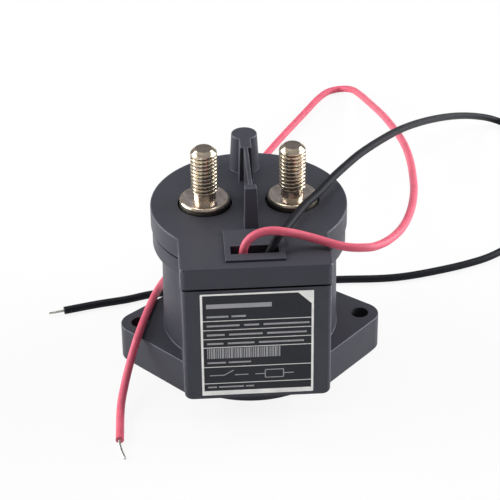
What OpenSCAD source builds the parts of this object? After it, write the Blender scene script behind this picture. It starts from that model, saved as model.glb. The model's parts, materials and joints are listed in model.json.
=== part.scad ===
// Sealed high voltage DC contactor with two threaded terminals, a two-lug foot and a pair of coil leads.
// Millimetres. The origin is on the body's axis in the mounting plane, +Z is up and -Y is the front.

/* [Housing] */
// Radius of the round body just under its rim
body_top_r = 26.6; // [25.5:0.1:28]
// Radius of the round body where it meets the flange
body_foot_r = 26.9; // [26:0.1:28]
// Radius of the rim under the seam
rim_r = 29.3; // [28.5:0.1:32]
// Height of the rim
rim_h = 5.8; // [3:0.1:8]
// Height of the housing up to its sealing face
housing_h = 46.8; // [46:0.1:52]
// Thickness of the floor
floor_t = 2.5; // [1.5:0.1:3.5]
// Radius of the round cavity
cavity_r = 24; // [23.8:0.1:24.6]

/* [Front block] */
// Width of the block that carries the nameplate
block_w = 43.4; // [40:0.2:48]
// Distance from the axis to the front face
block_reach = 36.9; // [36:0.1:40]
// Height of the block's underside above the mounting plane
block_bottom = 8.2; // [6:0.1:11]
// Radius of the block's upright front edges
block_corner_r = 1; // [0.6:0.1:3]
// Rounding along the block's lower side edges
block_foot_r = 1.5; // [0.6:0.1:2]
// Wall of the block around its pocket
block_wall = 2.2; // [1.4:0.1:2.6]
// Thickness of the wall between the round cavity and the pocket
divider_t = 2; // [1.2:0.1:2.2]

/* [Foot and lugs] */
// Thickness of the mounting flange
flange_h = 11.6; // [8.6:0.1:14]
// Radius of the round foot
foot_r = 28.2; // [27.5:0.1:29]
// Distance between the two mounting holes
hole_spacing = 68.8; // [66:0.2:76]
// Diameter of the mounting holes, clear for M5
hole_d = 5.5; // [4.5:0.1:6.5]
// Radius of the lug tips
lug_r = 5.9; // [4.5:0.1:7]
// How far ahead of the axis the lugs' front edges meet the block
lug_web_y = 22.3; // [20:0.1:25]

/* [Lid] */
// How far the lid stands out over the housing all round
lid_lip = 0.4; // [0.2:0.1:0.8]
// Height of the lid from its sealing face
lid_h = 6.6; // [6:0.1:9]
// Thickness of the lid's top plate
lid_plate_t = 4; // [3:0.1:4.4]
// Chamfer along the lid's top edge
lid_edge = 0.25; // [0.2:0.05:0.8]
// Thickness of the seam gasket
gasket_t = 0.6; // [0.2:0.1:0.8]
// How far the gasket sits back from the outer wall
gasket_setback = 0.7; // [0.2:0.1:0.8]
// Radial gap between a terminal collar and its hole in the lid
collar_gap = 0.55; // [0.2:0.05:0.9]

/* [Barrier] */
// Height of the barrier above the lid
barrier_h = 11.8; // [8:0.1:16]
// Thickness of the barrier at the lid
barrier_foot_t = 4.3; // [3.6:0.1:5.5]
// Thickness of the barrier at its top
barrier_top_t = 3.5; // [2.6:0.1:3.6]
// Gap between the lead outlet and the barrier's front at the lid
barrier_gap = 1.1; // [0.5:0.1:2]
// How far the front face leans back over its height
barrier_lean = 3.6; // [1:0.1:5]
// Thickness of the upright front edge along Y
barrier_pillar_t = 2.5; // [1.6:0.1:4]
// Thickness of the web between the side pockets
barrier_web_t = 1.3; // [0.8:0.1:2]
// Where the side pockets end behind the axis
barrier_pocket_end = 11.9; // [8:0.1:13]
// Distance from the axis to the post at the barrier's rear
post_y = 21; // [20.2:0.1:21.4]
// Radius of the post at the lid
post_foot_r = 4.64; // [4:0.02:5.2]
// Radius of the post at its top
post_top_r = 3.96; // [3.3:0.02:4]

/* [Lead outlet] */
// Width of the outlet insert
outlet_w = 17.4; // [16:0.1:20]
// Distance from the block's front face to the insert's front edge
outlet_margin = 3.1; // [2.8:0.1:5]
// Length of the insert from front to rear
outlet_depth = 16.6; // [14:0.1:17]
// How far the insert stands above the lid
outlet_proud = 0.7; // [0.1:0.1:1]
// Length of the slot that the leads leave through
outlet_slot_w = 13.9; // [12:0.1:15]
// Width of the slot
outlet_slot_t = 4.3; // [4:0.1:5]
// Distance from the insert's front edge to the slot
outlet_slot_margin = 3.4; // [2:0.1:4]
// Gap around the insert in the lid
outlet_gap = 0.12; // [0.08:0.02:0.4]
// Width of the insert's ledges under the lid, one at each side
outlet_ledge = 1; // [0.6:0.1:1]
// Thickness of those ledges
outlet_ledge_t = 1.4; // [0.8:0.1:1.6]

/* [Nameplate] */
// Width of the nameplate
plate_w = 33; // [28:0.5:36]
// Height of the nameplate
plate_h = 36; // [30:0.5:36.5]
// Thickness of the nameplate
plate_t = 0.2; // [0.1:0.05:0.5]
// Height of the nameplate's lower edge above the block's underside
plate_lift = 1.3; // [0.5:0.1:1.5]
// Radius of the nameplate's corners
plate_corner_r = 0.3; // [0.2:0.1:2]

/* [Terminals] */
// Diameter of the M8 studs
stud_d = 8; // [6:0.5:8]
// Distance between the two studs
stud_spacing = 26.4; // [25.6:0.1:27]
// Height of the stud tips above the lid
stud_h = 18.8; // [14:0.1:24]
// Chamfer at the stud's tip
stud_chamfer = 1.1; // [0.5:0.1:1.5]
// Diameter of the plain neck under the thread
neck_d = 6.8; // [5:0.1:7]
// Length of the plain neck
neck_h = 2.5; // [1:0.1:3]
// Diameter of the terminal collar
collar_d = 15.3; // [13:0.1:16]
// How far the collar stands above the lid
collar_proud = 2; // [1:0.1:4]
// Diameter of the fixed contact inside the chamber
contact_d = 9; // [7:0.1:9.4]
// How far the fixed contact stands out below the chamber's roof
contact_drop = 2.1; // [1:0.1:3]
// Height of the seal around a collar
seal_h = 2.2; // [1:0.1:3]

/* [Arc chamber] */
// Length of the ceramic chamber along X
chamber_l = 42.4; // [42:0.1:44]
// Width of the ceramic chamber along Y
chamber_w = 21; // [20:0.1:22]
// Wall of the chamber
chamber_wall = 2.2; // [1.6:0.1:2.4]
// Thickness of the chamber's roof
chamber_roof_t = 3.5; // [2.5:0.1:4.5]
// Height of the metal ring under the ceramic
ring_h = 1; // [0.6:0.1:2]
// Length of the blow-out magnets
magnet_l = 24; // [18:0.5:26]
// Thickness of the blow-out magnets
magnet_t = 3; // [2:0.1:3.4]
// Height of the blow-out magnets
magnet_h = 15; // [10:0.5:16]
// Outer diameter of the gas fill tube
fill_tube_d = 3.2; // [2:0.1:3.6]
// Wall of the gas fill tube
fill_tube_wall = 0.5; // [0.3:0.1:0.8]
// Length of the gas fill tube that stands inside the post
fill_tube_in_post = 8; // [4:0.5:9]
// Gap around the gas fill tube in the post
fill_tube_gap = 0.5; // [0.2:0.1:0.8]

/* [Coil and magnet frame] */
// Outer radius of the magnet frame cup and its plate
yoke_r = 23.2; // [23:0.1:23.6]
// Wall of the cup
yoke_wall = 1.5; // [1:0.1:1.8]
// Thickness of the cup's floor
yoke_floor_t = 2; // [1:0.1:2.5]
// Thickness of the pole plate over the coil
pole_plate_t = 3; // [2:0.1:3.5]
// Length of the bobbin
bobbin_l = 22.5; // [22:0.1:24]
// Radius of the bobbin's flanges
bobbin_flange_r = 21; // [18:0.1:21.2]
// Thickness of the bobbin's flanges
bobbin_flange_t = 1.6; // [1.2:0.1:2]
// Thickness of the bobbin's barrel
bobbin_wall = 1.4; // [0.8:0.1:2]
// Outer radius of the winding
winding_r = 19.5; // [14:0.1:20]
// Outer radius of the core tube
core_tube_r = 7; // [6.6:0.1:7.4]
// Wall of the core tube
core_tube_wall = 0.6; // [0.4:0.1:0.8]
// Thickness of the damper pad under the moving core
damper_t = 1; // [0.5:0.1:2]
// Length of the moving core
moving_core_l = 11; // [8:0.1:12]
// Radial gap between the moving core and its tube
core_gap = 0.1; // [0.05:0.05:0.3]
// Air left between the cores when they are pulled in
core_residual = 0.25; // [0.1:0.05:0.5]
// Radius of the fixed core's head
core_head_r = 8; // [7.8:0.1:8.2]
// Thickness of the fixed core's head
core_head_t = 1; // [0.6:0.1:1.5]
// Depth of the return spring's pocket in the fixed core
spring_pocket_d = 6; // [4:0.1:7]

/* [Moving contact] */
// Travel of the bridge until the contacts meet
contact_travel = 1.2; // [0.8:0.05:1.5]
// Further travel of the shaft that presses the contacts together
contact_overtravel = 0.6; // [0.3:0.05:0.8]
// Clearance left between the bridge and the fixed contacts in the model
contact_clear = 0.05; // [0.02:0.01:0.1]
// Length of the contact bridge
bridge_l = 33; // [31:0.1:33.6]
// Width of the contact bridge
bridge_w = 9; // [7:0.1:10]
// Thickness of the contact bridge
bridge_t = 2.2; // [1.5:0.1:3]
// Radius of the plunger shaft
shaft_r = 1.9; // [1.5:0.05:2]
// Running clearance of the shaft
shaft_gap = 0.08; // [0.03:0.01:0.1]
// Length of the shaft above its clip
shaft_tip = 0.4; // [0.3:0.05:0.6]
// Working length of the contact spring
contact_spring_l = 7; // [5:0.1:8]
// Thickness of the spring seat on the shaft
spring_seat_t = 1.2; // [0.8:0.1:1.6]
// Thickness of the retaining clip
clip_t = 0.8; // [0.4:0.1:1.2]
// Wire diameter of both springs
spring_wire_d = 0.8; // [0.5:0.05:1]
// Turns of the return spring
return_turns = 4.5; // [3:0.5:5]
// Turns of the contact spring
contact_turns = 4; // [3:0.5:5]

/* [Control board] */
// Space between the pocket's front wall and the board for its components
board_space = 4.2; // [3.8:0.1:5]
// Thickness of the coil control board
board_t = 1.6; // [1:0.1:2]
// Gap between the board's top and the sealing face
board_top_gap = 3; // [1:0.5:5]
// Gap between the board's sides and the pocket
board_side_gap = 0.2; // [0.1:0.1:0.5]
// Diameter of the coil pins
coil_pin_d = 0.8; // [0.6:0.1:1.2]
// Distance between the coil pins
coil_pin_spacing = 10; // [8:0.5:12]
// How far the bobbin's tab reaches past the pins at each side
pin_tab_margin = 2; // [1:0.1:3]
// Gap beside the tab in the wall behind the board
pin_window_gap = 1; // [0.5:0.1:2]
// How far the opening in that wall reaches below the pins
pin_window_drop = 3; // [2:0.1:5]
// Width, height and thickness of the control chip
chip_size = [5, 4, 1.6];
// Width, height and thickness of the power transistor
transistor_size = [6.6, 6.1, 2.3];
// Diameter of the input capacitor
capacitor_d = 6.3; // [4:0.1:8]
// Height of the input capacitor
capacitor_h = 3.6; // [2:0.1:3.7]
// Distance of the transistor and the capacitor from the board's middle
component_x = 10.5; // [8:0.5:13]
// Height of the transistor and the capacitor above the chip
component_rise = 5; // [0:0.5:8]

/* [Leads] */
// Outer diameter of the insulated leads
lead_d = 2.5; // [1.6:0.1:2.6]
// Diameter of the bare strands at a lead's end
strand_d = 1; // [0.8:0.1:1.4]

/* [Hidden] */
$fn = 96;
// Overlap that lets a cut run clean through a face
eps = 0.5;
// Small clearance between pieces that are assembled with a close fit
fit = 0.03;
// Free gap between pieces that are assembled loosely
loose = 0.2;
// Broken edge on turned pieces
edge = 0.3;
// Smallest radius that an inset corner keeps
least_corner_r = 0.2;
// Thickness of the slices that a chamfered edge is stretched between
slice = 0.01;

// Heights from the mounting plane upwards
rim_z = housing_h - rim_h;
lid_z = housing_h + gasket_t;
lid_top = lid_z + lid_h;
lid_under = lid_top - lid_plate_t;
bobbin_z = floor_t + yoke_floor_t;
pole_plate_z = bobbin_z + bobbin_l;
chamber_floor = pole_plate_z + pole_plate_t;
chamber_z = chamber_floor + ring_h;
chamber_roof_z = lid_under - chamber_roof_t;
fixed_contact_z = chamber_roof_z - contact_drop;
bridge_top = fixed_contact_z - contact_travel - contact_clear;
bridge_z = bridge_top - bridge_t;
spring_seat_z = bridge_z - contact_spring_l - spring_seat_t;
moving_core_z = bobbin_z + core_tube_wall + damper_t;
moving_core_top = moving_core_z + moving_core_l;
fixed_core_z = moving_core_top + contact_travel + contact_overtravel + core_residual;
spring_pocket_top = fixed_core_z + spring_pocket_d;
shaft_top = bridge_top + clip_t + shaft_tip;

// Radii and places worked out from the driving sizes
block_half = block_w / 2;
lid_r = rim_r + lid_lip;
lid_half = block_half + lid_lip;
lid_front = block_reach + lid_lip;
lid_corner_r = block_corner_r + lid_lip;
pocket_half = block_half - block_wall;
pocket_front = block_reach - block_wall;
pocket_back = 20;
lug_x = hole_spacing / 2;
outlet_front = block_reach - outlet_margin;
outlet_back = outlet_front - outlet_depth;
barrier_front = outlet_back - barrier_gap;
core_tube_in = core_tube_r - core_tube_wall;
core_r = core_tube_in - core_gap;
barrel_in = core_tube_r + fit;
barrel_out = barrel_in + bobbin_wall;
spring_mid_r = shaft_r + 2 * loose + spring_wire_d / 2;
spring_pocket_r = spring_mid_r + spring_wire_d / 2 + loose;
groove_r = shaft_r - clip_t / 2;
pin_tab_half = coil_pin_spacing / 2 + pin_tab_margin;
pin_tab_front = yoke_r - yoke_wall - 2 * loose;
coil_pin_z = pole_plate_z - bobbin_flange_t / 2;
plate_z = block_bottom + plate_lift;
board_z = block_bottom + block_wall;
board_top = housing_h - board_top_gap;
board_mid_z = (board_z + board_top) / 2;
board_front = board_space - pocket_front;
board_back = board_front + board_t;
slot_y = outlet_slot_margin + outlet_slot_t / 2 - outlet_front;

// Where the leads run: out of the slot, over the lid, down to the table behind and back to the front
red_route = [
    [-3.4, -27.5, 40], [-3.4, -27.5, 46], [-3.4, -28, 52.5], [-2.9, -28.1, 55.6], [-1.4, -27.8, 57.9],
    [1.3, -27.6, 59.6], [4.8, -27.8, 60.4], [8.7, -27.7, 59.8], [12.9, -27, 58.3], [18, -27.1, 56.5],
    [23, -28.5, 55.4], [26.8, -29.3, 54.7], [30.9, -28.7, 53.9], [35, -26.5, 52.7], [40, -20.9, 51.2],
    [45.1, -11.8, 49.5], [49.3, 0.6, 47.5], [52.3, 14.6, 45], [54.2, 28.8, 42], [56, 49.6, 37.5],
    [56.6, 72, 32], [55.1, 105, 23], [53, 137, 12.5], [51.2, 157.6, 5.7], [49.6, 165.6, 3],
    [46.3, 169, 1.7], [41.6, 168.3, 1.3], [37.2, 163.5, 1.3], [32, 154.5, 1.3], [14, 121.5, 1.3],
    [-12, 68, 1.3], [-21, 46, 3.5], [-26.3, 27, 9], [-29.5, 12.5, 13], [-32, 3.5, 13],
    [-35.2, -9.9, 12.9], [-37.3, -14, 8.5], [-39.5, -21.5, 4.5], [-41, -30.5, 2.2], [-41.5, -46, 1.3]
];
red_strands = [[-41.5, -46, 1.3], [-41.5, -48.5, 1.3], [-40.8, -52, 1.1], [-40, -54.5, 0.9]];
black_route = [
    [2.6, -27.5, 40], [2.8, -27.5, 46], [3.3, -27.8, 49.5], [4, -28.1, 52.6], [5.3, -27.7, 55],
    [6.9, -25.9, 57], [9.8, -21.8, 57.8], [15.8, -10.7, 58], [20.7, -3.6, 58], [26, 5.2, 58],
    [30.8, 13.3, 57.3], [36.4, 23.8, 55.3], [45.2, 41.4, 50], [54, 59.5, 43.5], [63.5, 78.3, 35.5],
    [73.4, 97.3, 26.5], [83.9, 116.5, 16.5], [93.8, 131.7, 7.5], [101, 137.8, 2.5], [107, 134, 1.3],
    [111, 124, 1.3], [112, 110, 1.3], [110.5, 94, 1.3], [107, 76, 1.3], [99, 58, 1.3],
    [88, 48, 1.3], [80, 43, 1.3], [66, 38, 1.3], [50, 34.6, 1.3], [31, 34.9, 1.3],
    [0, 35, 1.3], [-30, 31, 1.3], [-38.5, 28.5, 1.3], [-48, 26.5, 1.3], [-59, 23.6, 1.3]
];
black_strands = [[-59, 23.6, 1.3], [-61.5, 23.1, 1.2], [-64, 23, 1]];

// Colours of the materials
plastic = "#37383d";
nickel = "#cfc3a4";
ceramic = "#ece8de";
steel = "#a9acb0";
copper = "#b8733a";
tin = "#c8c8c4";

// Plane shapes

// Outline of the lid, set in from its outer wall
module plan(inset = 0) {
    circle(r = lid_r - inset);
    block_plan(lid_half - inset, lid_front - inset, max(lid_corner_r - inset, least_corner_r));
}

// A block ahead of the axis with rounded front corners
module block_plan(half, front, corner) {
    translate([-half, corner - front])
        square([2 * half, front - corner]);
    translate([corner - half, -front])
        square([2 * (half - corner), front]);
    for (side = [-1, 1])
        translate([side * (half - corner), corner - front])
            circle(r = corner);
}

// The free space inside the lid's skirt and the gasket
module skirt_space() {
    circle(r = cavity_r);
    translate([-pocket_half, -pocket_front])
        square([2 * pocket_half, pocket_front]);
}

// One lug: a web that runs tangent to the foot and from the block's side to the round tip
module lug_plan() {
    rear = acos((foot_r - lug_r) / lug_x);
    from_block = [lug_x - block_half, lug_web_y];
    front = atan2(from_block.y, from_block.x) - asin(lug_r / norm(from_block)) - 90;
    polygon([
        [0, 0],
        [0, -lug_web_y],
        [block_half, -lug_web_y],
        [lug_x + lug_r * cos(front), lug_r * sin(front)],
        [lug_x, 0],
        [lug_x + lug_r * cos(rear), lug_r * sin(rear)],
        [foot_r * cos(rear), foot_r * sin(rear)]
    ]);
    translate([lug_x, 0])
        circle(r = lug_r);
}

// A bar with half-round ends along X
module stadium(length, width) {
    square([length - width, width], center = true);
    for (side = [-1, 1])
        translate([side * (length - width) / 2, 0])
            circle(d = width);
}

// Swept shapes

function unit(v) = v / norm(v);
function along(path, i) = unit(path[min(i + 1, len(path) - 1)] - path[max(i - 1, 0)]);
function square_to(v, axis) = unit(v - (v * axis) * axis);

// Side directions carried along a path without twist
function side_vectors(path) = [
    for (i = 0, side = square_to([0.3, 1, 0.2], along(path, 0));
        i < len(path);
        i = i + 1, side = i < len(path) ? square_to(side, along(path, i)) : side)
        side
];

// A closed round tube along a path of points
module tube(path, d, sides = 8) {
    side = side_vectors(path);
    count = len(path);
    rings = [
        for (i = [0 : count - 1])
            let (other = cross(along(path, i), side[i]))
                for (k = [0 : sides - 1])
                    path[i] + d / 2 * (cos(360 * k / sides) * side[i] + sin(360 * k / sides) * other)
    ];
    walls = [
        for (i = [0 : count - 2], k = [0 : sides - 1])
            let (a = i * sides + k, b = i * sides + (k + 1) % sides)
                each [[a, a + sides, b + sides], [a, b + sides, b]]
    ];
    ends = [
        [for (k = [0 : sides - 1]) k],
        [for (k = [sides - 1 : -1 : 0]) (count - 1) * sides + k]
    ];
    polyhedron(rings, concat(walls, ends));
}

// A compression spring between two heights, with its end turns closed and a hair of room at each seat
module spring(low, high, mid_r, wire_d, turns) {
    steps_a_turn = 16;
    sides = 6;
    steps = turns * steps_a_turn;
    bottom = low + wire_d / 2;
    rise = high - low - wire_d;
    path = [
        for (i = [0 : steps])
            let (turn = 360 * i / steps_a_turn, part = i / steps)
                [mid_r * cos(turn), mid_r * sin(turn), bottom + rise * (1 - cos(180 * part)) / 2]
    ];
    tube(path, wire_d - fit, sides);
}

// Outer pieces

// Moulded housing: foot with two lugs, drafted round body, rim and the block for the control board
module housing() {
    color(plastic)
        difference() {
            housing_outside();
            translate([0, 0, floor_t])
                cylinder(r = cavity_r, h = housing_h);
            board_pocket();
            pin_window();
            for (side = [-1, 1])
                translate([side * lug_x, 0, -eps])
                    cylinder(d = hole_d, h = flange_h + 2 * eps);
        }
}

module housing_outside() {
    cylinder(r = foot_r, h = flange_h);
    linear_extrude(flange_h) {
        lug_plan();
        mirror([1, 0])
            lug_plan();
    }
    translate([0, 0, flange_h])
        cylinder(r1 = body_foot_r, r2 = body_top_r, h = rim_z - flange_h);
    translate([0, 0, rim_z])
        cylinder(r = rim_r, h = rim_h);
    translate([0, 0, block_bottom + block_foot_r])
        linear_extrude(housing_h - block_bottom - block_foot_r)
            block_plan(block_half, block_reach, block_corner_r);
    block_foot();
}

// Underside of the block, its side edges rounded in steps
module block_foot() {
    hull()
        for (turn = [0 : 22.5 : 90])
            let (inset = block_foot_r * (1 - sin(turn)))
                translate([0, 0, block_bottom + block_foot_r * (1 - cos(turn))])
                    linear_extrude(slice)
                        block_plan(block_half - inset, block_reach, block_corner_r, $fn = 32);
}

// Space for the control board, ahead of the round cavity and the wall round that
module board_pocket() {
    translate([0, 0, board_z])
        linear_extrude(housing_h) {
            difference() {
                translate([-pocket_half, -pocket_front])
                    square([2 * pocket_half, pocket_front - pocket_back]);
                circle(r = cavity_r + divider_t);
            }
            translate([-pocket_half, -pocket_front])
                square([2 * pocket_half, board_space + board_t + loose]);
        }
}

// Opening in the wall behind the board for the coil pins
module pin_window() {
    window_half = pin_tab_half + pin_window_gap;
    window_front = cavity_r + divider_t + eps;
    translate([-window_half, -window_front, coil_pin_z - pin_window_drop])
        cube([2 * window_half, window_front - pin_tab_front, housing_h]);
}

// Moulded lid with the barrier between the terminals, collar holes and the opening for the lead outlet
module lid() {
    color(plastic)
        difference() {
            union() {
                lid_shell();
                barrier();
            }
            for (side = [-1, 1])
                translate([side * stud_spacing / 2, 0, lid_under - eps])
                    cylinder(r = collar_d / 2 + collar_gap, h = lid_plate_t + 2 * eps);
            translate([-outlet_w / 2 - outlet_gap, -outlet_front - outlet_gap, lid_under - eps])
                cube([outlet_w + 2 * outlet_gap, outlet_depth + 2 * outlet_gap, lid_plate_t + 2 * eps]);
            translate([0, post_y, lid_under - eps])
                cylinder(d = fill_tube_d + 2 * fill_tube_gap, h = lid_plate_t + fill_tube_in_post + 2 * eps);
            plate_room();
        }
}

// The lid's lip stays clear of the nameplate's face, however far up that reaches
module plate_room() {
    translate([-plate_w / 2 - loose, -lid_front - eps, plate_z])
        cube([plate_w + 2 * loose, lid_lip + eps, plate_h + loose]);
}

module lid_shell() {
    translate([0, 0, lid_z])
        linear_extrude(lid_under - lid_z)
            difference() {
                plan();
                skirt_space();
            }
    translate([0, 0, lid_under])
        linear_extrude(lid_plate_t - lid_edge)
            plan();
    translate([0, 0, lid_top - lid_edge]) {
        cylinder(r1 = lid_r, r2 = lid_r - lid_edge, h = lid_edge);
        hull() {
            linear_extrude(slice)
                block_plan(lid_half, lid_front, lid_corner_r, $fn = 32);
            translate([0, 0, lid_edge - slice])
                linear_extrude(slice)
                    block_plan(lid_half - lid_edge, lid_front - lid_edge, lid_corner_r - lid_edge, $fn = 32);
        }
    }
}

// Insulating wall: a leaning front edge, a thin web between side pockets and a tapered post at the rear
module barrier() {
    pocket_from = barrier_pillar_t + barrier_lean - barrier_front;
    translate([0, 0, lid_top - eps])
        difference() {
            intersection() {
                rotate([90, 0, 90])
                    translate([0, 0, -barrier_foot_t])
                        linear_extrude(2 * barrier_foot_t)
                            barrier_side();
                rotate([90, 0, 0])
                    translate([0, 0, -post_y])
                        linear_extrude(post_y + barrier_front + eps)
                            barrier_section();
            }
            for (side = [-1, 1])
                translate([side * (barrier_web_t + barrier_foot_t) / 2, 0, eps])
                    translate([-barrier_foot_t / 2, pocket_from, 0])
                        cube([barrier_foot_t, barrier_pocket_end - pocket_from, barrier_h + eps]);
        }
    translate([0, post_y, lid_top])
        cylinder(r1 = post_foot_r, r2 = post_top_r, h = barrier_h);
}

module barrier_side() {
    polygon([
        [-barrier_front, 0],
        [-barrier_front, eps],
        [barrier_lean - barrier_front, barrier_h + eps],
        [post_y, barrier_h + eps],
        [post_y, 0]
    ]);
}

module barrier_section() {
    polygon([
        [-barrier_foot_t / 2, 0],
        [-barrier_foot_t / 2, eps],
        [-barrier_top_t / 2, barrier_h + eps],
        [barrier_top_t / 2, barrier_h + eps],
        [barrier_foot_t / 2, eps],
        [barrier_foot_t / 2, 0]
    ]);
}

// Seal between the housing and the lid
module seam_gasket() {
    color("#1c1c1f")
        translate([0, 0, housing_h])
            linear_extrude(gasket_t)
                difference() {
                    plan(gasket_setback + lid_lip);
                    skirt_space();
                }
}

// Insert that the leads leave through, held by a ledge under the lid at each side
module lead_outlet() {
    color("#2c2d31")
        difference() {
            translate([-outlet_w / 2, -outlet_front, lid_under]) {
                cube([outlet_w, outlet_depth, lid_plate_t + outlet_proud]);
                translate([-outlet_ledge, 0, -outlet_ledge_t])
                    cube([outlet_w + 2 * outlet_ledge, outlet_depth, outlet_ledge_t]);
            }
            translate([-outlet_slot_w / 2, slot_y - outlet_slot_t / 2, lid_under - outlet_ledge_t - eps])
                cube([outlet_slot_w, outlet_slot_t, lid_plate_t + outlet_ledge_t + outlet_proud + 2 * eps]);
        }
}

// Thin metal plate on the front face
module nameplate() {
    half = plate_w / 2 - plate_corner_r;
    color("#1b1b1e")
        translate([0, -block_reach, plate_z])
            rotate([90, 0, 0])
                linear_extrude(plate_t) {
                    translate([-plate_w / 2, plate_corner_r])
                        square([plate_w, plate_h - 2 * plate_corner_r]);
                    translate([-half, 0])
                        square([2 * half, plate_h]);
                    for (x = [-half, half], y = [plate_corner_r, plate_h - plate_corner_r])
                        translate([x, y])
                            circle(r = plate_corner_r);
                }
}

// Turned terminal: threaded stud, plain neck, collar that sits on the ceramic, and the fixed contact below it
module terminal() {
    neck_z = lid_top + collar_proud;
    tip = lid_top + stud_h;
    color(nickel)
        rotate_extrude()
            polygon([
                [0, fixed_contact_z],
                [contact_d / 2 - edge, fixed_contact_z],
                [contact_d / 2, fixed_contact_z + edge],
                [contact_d / 2, lid_under],
                [collar_d / 2, lid_under],
                [collar_d / 2, neck_z - edge],
                [collar_d / 2 - edge, neck_z],
                [neck_d / 2, neck_z],
                [neck_d / 2, neck_z + neck_h],
                [stud_d / 2, neck_z + neck_h + (stud_d - neck_d) / 2],
                [stud_d / 2, tip - stud_chamfer],
                [stud_d / 2 - stud_chamfer, tip],
                [0, tip]
            ]);
}

module terminal_left() {
    translate([-stud_spacing / 2, 0, 0])
        terminal();
}

module terminal_right() {
    translate([stud_spacing / 2, 0, 0])
        terminal();
}

// Soft rings between the collars and the lid
module terminal_seals() {
    color("#141416")
        for (side = [-1, 1])
            translate([side * stud_spacing / 2, 0, lid_under])
                difference() {
                    cylinder(r = collar_d / 2 + collar_gap - fit, h = seal_h);
                    translate([0, 0, -eps])
                        cylinder(r = collar_d / 2 + fit, h = seal_h + 2 * eps);
                }
}

// Sealed contact chamber

// Ceramic hood that both terminals are brazed into
module arc_chamber() {
    color(ceramic)
        difference() {
            translate([0, 0, chamber_z])
                linear_extrude(lid_under - chamber_z)
                    stadium(chamber_l, chamber_w);
            translate([0, 0, chamber_z - eps])
                linear_extrude(chamber_roof_z - chamber_z + eps)
                    stadium(chamber_l - 2 * chamber_wall, chamber_w - 2 * chamber_wall);
            for (side = [-1, 1])
                translate([side * stud_spacing / 2, 0, chamber_roof_z - eps])
                    cylinder(r = contact_d / 2 + fit, h = chamber_roof_t + 2 * eps);
        }
}

// Metal ring that joins the ceramic to the pole plate
module chamber_ring() {
    color(steel)
        translate([0, 0, chamber_floor])
            linear_extrude(ring_h)
                difference() {
                    stadium(chamber_l, chamber_w);
                    stadium(chamber_l - 2 * chamber_wall, chamber_w - 2 * chamber_wall);
                }
}

// Permanent magnets in front of and behind the chamber that stretch the arc
module blowout_magnets() {
    near = chamber_w / 2 + loose;
    color("#5c5f66")
        for (side = [0, 180])
            rotate([0, 0, side])
                translate([-magnet_l / 2, near, chamber_floor])
                    cube([magnet_l, magnet_t, magnet_h]);
}

// Pinched copper tube, standing on the pole plate inside the lid's post
module gas_fill_tube() {
    color(copper)
        translate([0, post_y, chamber_floor])
            difference() {
                cylinder(d = fill_tube_d, h = lid_top + fill_tube_in_post - chamber_floor);
                translate([0, 0, -eps])
                    cylinder(d = fill_tube_d - 2 * fill_tube_wall, h = lid_top + eps - chamber_floor);
            }
}

// Magnet

// Steel cup round the coil, notched for the coil pins
module yoke_cup() {
    color(steel)
        difference() {
            translate([0, 0, floor_t])
                cylinder(r = yoke_r, h = pole_plate_z - floor_t);
            translate([0, 0, bobbin_z])
                cylinder(r = yoke_r - yoke_wall, h = bobbin_l + eps);
            translate([-pin_tab_half - loose, -yoke_r - eps, pole_plate_z - bobbin_flange_t - loose])
                cube([2 * (pin_tab_half + loose), yoke_r, bobbin_flange_t + loose + eps]);
        }
}

// Steel plate over the coil, which closes the magnet frame and carries the chamber
module pole_plate() {
    color(steel)
        translate([0, 0, pole_plate_z])
            difference() {
                cylinder(r = yoke_r, h = pole_plate_t);
                translate([0, 0, -eps])
                    cylinder(r = core_tube_r + fit, h = pole_plate_t + 2 * eps);
            }
}

// Bobbin with a tab for the coil pins on its upper flange
module coil_bobbin() {
    color("#22262b")
        difference() {
            translate([0, 0, bobbin_z]) {
                cylinder(r = bobbin_flange_r, h = bobbin_flange_t);
                cylinder(r = barrel_out, h = bobbin_l);
                translate([0, 0, bobbin_l - bobbin_flange_t]) {
                    cylinder(r = bobbin_flange_r, h = bobbin_flange_t);
                    translate([-pin_tab_half, -pin_tab_front, 0])
                        cube([2 * pin_tab_half, pin_tab_front - barrel_out, bobbin_flange_t]);
                }
            }
            translate([0, 0, bobbin_z - eps])
                cylinder(r = barrel_in, h = bobbin_l + 2 * eps);
        }
}

// Copper winding between the bobbin's flanges
module coil_winding() {
    color(copper)
        translate([0, 0, bobbin_z + bobbin_flange_t])
            difference() {
                cylinder(r = winding_r, h = bobbin_l - 2 * bobbin_flange_t);
                translate([0, 0, -eps])
                    cylinder(r = barrel_out + fit, h = bobbin_l);
            }
}

// Two pins from the bobbin to the control board
module coil_pins() {
    color(tin)
        for (side = [-1, 1])
            translate([side * coil_pin_spacing / 2, -pin_tab_front, coil_pin_z])
                rotate([90, 0, 0])
                    cylinder(d = coil_pin_d, h = -board_back - pin_tab_front, $fn = 24);
}

// Thin closed tube that keeps the gas in and guides the moving core
module core_tube() {
    color("#bfc2c6")
        translate([0, 0, bobbin_z])
            difference() {
                cylinder(r = core_tube_r, h = chamber_floor - bobbin_z);
                translate([0, 0, core_tube_wall])
                    cylinder(r = core_tube_in, h = chamber_floor - bobbin_z);
            }
}

// Fixed core hung by its head in the core tube, bored for the shaft and the return spring
module fixed_core() {
    color("#8f9296")
        difference() {
            union() {
                translate([0, 0, fixed_core_z])
                    cylinder(r = core_tube_in - fit, h = chamber_floor - fixed_core_z);
                translate([0, 0, chamber_floor])
                    cylinder(r = core_head_r, h = core_head_t);
            }
            translate([0, 0, fixed_core_z - eps])
                cylinder(r = spring_pocket_r, h = spring_pocket_d + eps);
            translate([0, 0, fixed_core_z])
                cylinder(r = shaft_r + shaft_gap, h = chamber_floor);
        }
}

// Rubber pad that the moving core drops on
module damper_pad() {
    color("#1a1a1a")
        translate([0, 0, bobbin_z + core_tube_wall])
            cylinder(r = core_r, h = damper_t);
}

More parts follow.
